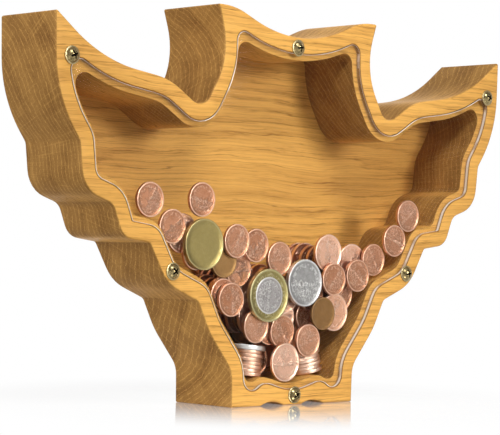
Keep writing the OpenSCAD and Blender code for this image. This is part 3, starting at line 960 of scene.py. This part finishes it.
@dataclass
class CoinLot:
    """All coins of one CAD node, each a struck coin on the place of its solid."""

    node: str
    slot: str
    finish: CoinMetal
    seed: int
    rim_w: float = 0.8 * MM
    rim_h: float = 0.15 * MM
    ease: float = 0.18 * MM
    hole: float = 0.0
    rimmed: bool = True

    def solids(self) -> list[tuple[Vector, Vector, float, float]]:
        """Centre, axis, radius and thickness of each solid of the node."""
        work = bmesh.new()
        work.from_mesh(fuse(self.node))
        left, found = set(work.verts), []
        work.verts.ensure_lookup_table()
        for first in list(work.verts):
            if first not in left:
                continue
            batch, queue = [], [first]
            left.discard(first)
            while queue:
                at = queue.pop()
                batch.append(at.co.copy())
                for edge in at.link_edges:
                    other = edge.other_vert(at)
                    if other in left:
                        left.discard(other)
                        queue.append(other)
            points = np.array(batch)
            centre = points.mean(0)
            axis = np.linalg.svd(points - centre)[2][2]
            along = (points - centre) @ axis
            across = np.linalg.norm(points - centre - along[:, None] * axis, axis=1)
            axis = axis if axis[1] < 0 else -axis
            found.append((Vector(centre), Vector(axis), float(across.max()), float(np.ptp(along))))
        work.free()
        return found

    def blank(self, radius: float, thick: float) -> bpy.types.Mesh:
        """One coin about Z, with a rounded rim, and its face coordinates on the mesh."""
        half, ease = thick / 2, self.ease
        rim = self.rim_h if self.rimmed else 0.0
        lip = self.rim_w if self.rimmed else 2 * ease
        outer = [
            (radius - lip - ease, half - rim), (radius - lip, half - rim * 0.35), (radius - lip + ease, half),
            (radius - ease, half), (radius - ease * 0.3, half - ease * 0.3), (radius, half - ease),
        ]
        spread = [(radius * s, half - rim) for s in ((0.35, 0.7) if not self.hole else ())]
        upper = spread + outer
        lower = [(r, -z) for r, z in reversed(upper)]
        profile = upper + lower
        if self.hole:
            profile = [(self.hole, half - rim)] + profile + [(self.hole, rim - half)]
        mesh = lathe(profile, 56, closed=bool(self.hole)).mesh(self.node + "_blank")
        place = mesh.attributes.new("face_place", "FLOAT_VECTOR", "POINT")
        flat = [c for v in mesh.vertices for c in (v.co.x / radius, v.co.y / radius, 1.0 if v.co.z > 0 else -1.0)]
        place.data.foreach_set("vector", flat)
        return mesh

    def tree(self, blank: bpy.types.Object, material: bpy.types.Material) -> bpy.types.NodeTree:
        """Geometry Nodes that stand a coin on each point, turned at random about its own axis."""
        tree = bpy.data.node_groups.new(self.node + "_nodes", "GeometryNodeTree")
        sides = tree.interface
        sides.new_socket("Places", in_out="INPUT", socket_type="NodeSocketGeometry")
        sides.new_socket("Coin", in_out="INPUT", socket_type="NodeSocketObject")
        sides.new_socket("Seed", in_out="INPUT", socket_type="NodeSocketInt")
        sides.new_socket("Coins", in_out="OUTPUT", socket_type="NodeSocketGeometry")
        entry = tree.nodes.new("NodeGroupInput")
        places, coin, seed = (Wire(tree, entry.outputs[i]) for i in range(3))
        axis = add_node(
            tree, "GeometryNodeInputNamedAttribute", {"Name": "axis"}, "Attribute", data_type="FLOAT_VECTOR"
        )
        upright = axis.node("FunctionNodeAlignRotationToVector", {"Vector": axis}, "Rotation", axis="Z")
        spin = seed.node("FunctionNodeRandomValue", {"Min": 0.0, "Max": math.tau, "Seed": seed}, 1)
        turned = upright.node(
            "FunctionNodeRotateRotation",
            {"Rotation": upright, "Rotate By": joined(0.0, 0.0, spin)}, 0, rotation_space="LOCAL",
        )
        thing = coin.node("GeometryNodeObjectInfo", {"Object": coin}, "Geometry")
        made = places.node(
            "GeometryNodeInstanceOnPoints", {"Points": places, "Instance": thing, "Rotation": turned}, "Instances"
        )
        lot = seed.node("FunctionNodeRandomValue", {"Min": 0.0, "Max": 1.0, "Seed": seed + 7}, 1)
        made = made.node(
            "GeometryNodeStoreNamedAttribute", {"Geometry": made, "Name": "coin_lot", "Value": lot},
            "Geometry", data_type="FLOAT", domain="INSTANCE",
        )
        made = made.node("GeometryNodeRealizeInstances", {"Geometry": made})
        made = made.node("GeometryNodeSetMaterial", {"Geometry": made, "Material": material})
        add_node(tree, "NodeGroupOutput", {0: made})
        return tree

    def build(self) -> bpy.types.Object:
        """Stands the coins and settles them into one mesh."""
        solids = self.solids()
        radius, thick = solids[0][2], solids[0][3]
        blank = shown_object(self.node + "_blank", self.blank(radius, thick))
        mesh = bpy.data.meshes.new(self.node + "_piece")
        mesh.from_pydata([s[0] for s in solids], [], [])
        axes = mesh.attributes.new("axis", "FLOAT_VECTOR", "POINT")
        axes.data.foreach_set("vector", [c for s in solids for c in s[1]])
        coins = shown_object(self.node + "_piece", mesh)
        tree = self.tree(blank, self.finish.make())
        modifier = coins.modifiers.new("coins", "NODES")
        modifier.node_group = tree
        ids = {item.name: item.identifier for item in tree.interface.items_tree if item.in_out == "INPUT"}
        modifier[ids["Coin"]] = blank
        modifier[ids["Seed"]] = self.seed
        settled(coins)
        smoothed(coins.data)
        bpy.data.objects.remove(blank)
        declare(coins, "box", self.slot, self.node)
        return coins


# ---- stage


@dataclass
class Lamp:
    """One soft area lamp aimed at the box."""

    name: str
    place: tuple
    size: float
    watts: float
    colour: tuple = WHITE
    target: tuple = (0.0, 0.0, 0.1)
    spread: float = math.pi

    def build(self) -> bpy.types.Object:
        """Makes the lamp."""
        data = bpy.data.lights.new(self.name, "AREA")
        data.shape, data.size, data.energy, data.color = "DISK", self.size, self.watts, self.colour
        data.spread = self.spread
        lamp = bpy.data.objects.new(self.name, data)
        lamp.location = self.place
        lamp.rotation_mode = "QUATERNION"
        lamp.rotation_quaternion = (Vector(self.target) - Vector(self.place)).to_track_quat("-Z", "Y")
        bpy.context.scene.collection.objects.link(lamp)
        return lamp


@dataclass
class Studio:
    """Camera, white surroundings, glossy white floor and lamps."""

    eye: tuple = (-0.69272, -0.71395, 0.07588)
    yaw: float = math.radians(43.609)
    pitch: float = math.radians(0.862)
    roll: float = math.radians(1.234)
    lens: float = 144.74
    sensor: float = 36.0
    ambient: float = 0.26
    front_shine: float = 0.35
    floor_shine: float = 0.8
    shine_reach: tuple = (0.03, 0.16)
    floor_bounce: float = 0.42
    shadow_share: float = 0.18
    shadow_reach: tuple = (0.05, 0.2)
    floor_size: float = 14.0
    floor_drop: float = 0.05 * MM
    lamps: tuple = (
        Lamp("key", (-0.27, -0.64, 0.86), 0.4, 6.0),
        Lamp("left_fill", (-1.54, 0.05, 0.5), 0.6, 10.4),
        Lamp("front_fill", (0.25, -0.95, 0.34), 0.4, 0.27, target=(0.0, 0.0, 0.12), spread=math.radians(28)),
    )

    def camera(self) -> bpy.types.Object:
        """Makes the camera."""
        data = bpy.data.cameras.new("camera")
        data.lens, data.sensor_width, data.sensor_fit = self.lens, self.sensor, "HORIZONTAL"
        data.clip_start, data.clip_end = 0.01, 100.0
        level = math.cos(self.pitch)
        ahead = Vector((math.sin(self.yaw) * level, math.cos(self.yaw) * level, math.sin(self.pitch)))
        right = Vector((math.cos(self.yaw), -math.sin(self.yaw), 0))
        up = right.cross(ahead)
        c, s = math.cos(self.roll), math.sin(self.roll)
        turn = Matrix((c * right + s * up, c * up - s * right, -ahead)).transposed()
        camera = bpy.data.objects.new("camera", data)
        camera.matrix_world = Matrix.Translation(self.eye) @ turn.to_4x4()
        bpy.context.scene.collection.objects.link(camera)
        bpy.context.scene.camera = camera
        return camera

    def world(self) -> None:
        """White for what is seen, dimmer in front of the box for what mirrors, and soft for what lights."""
        world = bpy.data.worlds.new("surroundings")
        world.use_nodes = True
        tree = world.node_tree
        tree.nodes.clear()
        kinds = ("Is Camera Ray", "Is Glossy Ray", "Is Transmission Ray")
        camera, glossy, through = (add_node(tree, "ShaderNodeLightPath", {}, kind) for kind in kinds)
        seen = camera.do("MAXIMUM", glossy).do("MAXIMUM", through)
        ahead = add_node(tree, "ShaderNodeTexCoord", {}, "Generated").part(1).step(-0.35, 0.2, 1.0, 0.0)
        white = add_node(tree, "ShaderNodeBackground", {"Color": WHITE, "Strength": 1.0})
        dim = add_node(tree, "ShaderNodeBackground", {"Color": WHITE, "Strength": self.front_shine})
        soft = add_node(tree, "ShaderNodeBackground", {"Color": (1.0, 0.985, 0.96), "Strength": self.ambient})
        mirrored = white.node("ShaderNodeMixShader", {0: ahead * glossy, 1: white, 2: dim})
        both = seen.node("ShaderNodeMixShader", {0: seen, 1: soft, 2: mirrored})
        add_node(tree, "ShaderNodeOutputWorld", {"Surface": both})
        bpy.context.scene.world = world

    def floor(self) -> bpy.types.Object:
        """A white floor that takes a faint shadow and mirrors what stands close."""
        half = self.floor_size / 2
        mesh = bpy.data.meshes.new("floor")
        corners = [(x * half, y * half, 0) for x, y in ((-1, -1), (1, -1), (1, 1), (-1, 1))]
        mesh.from_pydata(corners, [], [(0, 1, 2, 3)])
        material = bpy.data.materials.new("white_floor")
        material.use_nodes = True
        tree = material.node_tree
        tree.nodes.clear()
        lighting = add_node(tree, "ShaderNodeLightPath", {}, "Is Diffuse Ray")
        white = add_node(tree, "ShaderNodeEmission", {"Color": WHITE, "Strength": 1.0})
        soft = add_node(tree, "ShaderNodeEmission", {"Color": (1.0, 0.97, 0.92), "Strength": self.floor_bounce})
        glow = lighting.node("ShaderNodeMixShader", {0: lighting, 1: white, 2: soft})
        away = add_node(tree, "ShaderNodeTexCoord", {}, "Object").length()
        matt = add_node(tree, "ShaderNodeBsdfDiffuse", {"Color": WHITE})
        shadow = away.step(*self.shadow_reach, self.shadow_share, 0.0)
        shaded = glow.node("ShaderNodeMixShader", {0: shadow, 1: glow, 2: matt})
        gloss = add_node(tree, "ShaderNodeBsdfGlossy", {"Color": WHITE, "Roughness": 0.05})
        shine = away.step(*self.shine_reach, self.floor_shine, 0.0)
        both = glow.node("ShaderNodeMixShader", {0: shine, 1: shaded, 2: gloss})
        add_node(tree, "ShaderNodeOutputMaterial", {"Surface": both})
        mesh.materials.append(material)
        floor = shown_object("floor", mesh)
        floor.location.z = -self.floor_drop
        return floor

    def build(self) -> None:
        """Sets up everything that isn't the money box."""
        self.camera()
        self.world()
        stage = [self.floor(), *(lamp.build() for lamp in self.lamps)]
        bpy.context.scene.view_settings.view_transform = "Standard"


COINS = (
    CoinLot("penny_coins", "copper", CoinMetal("bright_copper"), 3),
    CoinLot("dark_coins", "dark_copper", CoinMetal(
        "brown_copper", (0.30, 0.165, 0.06), (0.22, 0.115, 0.042), (0.36, 0.21, 0.09), Relief.PLAIN, 0.42), 5),
    CoinLot("bronze_coins", "pale_copper", CoinMetal(
        "pale_copper", (0.90, 0.54, 0.38), (0.66, 0.34, 0.20), (1.0, 0.76, 0.60)), 8),
    CoinLot("silver_coins", "silver_metal", CoinMetal(
        "silver_metal", (0.46, 0.45, 0.43), (0.28, 0.27, 0.26), (0.92, 0.91, 0.88)), 13),
    CoinLot("brass_coins", "yellow_metal", CoinMetal(
        "yellow_metal", (0.36, 0.285, 0.105), (0.26, 0.20, 0.07), (0.50, 0.42, 0.20), Relief.PLAIN), 21),
    CoinLot("bimetal_rings", "ring_metal", CoinMetal(
        "ring_metal", (0.34, 0.28, 0.11), (0.24, 0.19, 0.065), (0.66, 0.60, 0.34), marks=60.0), 34, hole=9.0 * MM),
    CoinLot("bimetal_cores", "core_metal", CoinMetal(
        "core_metal", (0.46, 0.43, 0.41), (0.28, 0.26, 0.25), (0.92, 0.90, 0.86)), 34, rimmed=False),
)
FIXINGS = (
    Fixing("wing_left", 0.4), Fixing("wing_right", 1.1), Fixing("lower_left", 0.75), Fixing("lower_right", 0.2),
    Fixing("top", 0.1), Fixing("bottom", 0.6),
)


def main() -> None:
    """Builds the stage and each sub-assembly in order."""
    logging.basicConfig(level=logging.INFO, format="%(name)s: %(message)s")
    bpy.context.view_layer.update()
    Studio().build()
    Block().build()
    Window().build()
    metal = AgedBrass("antique_brass").make()
    ring_metal = AgedBrass("washer_brass", (0.44, 0.37, 0.20), (0.13, 0.10, 0.045), wear=0.35, gloss=0.26).make()
    for fixing in FIXINGS:
        fixing.build(metal, ring_metal)
    for lot in COINS:
        lot.build()


if __name__ == "__main__":
    main()
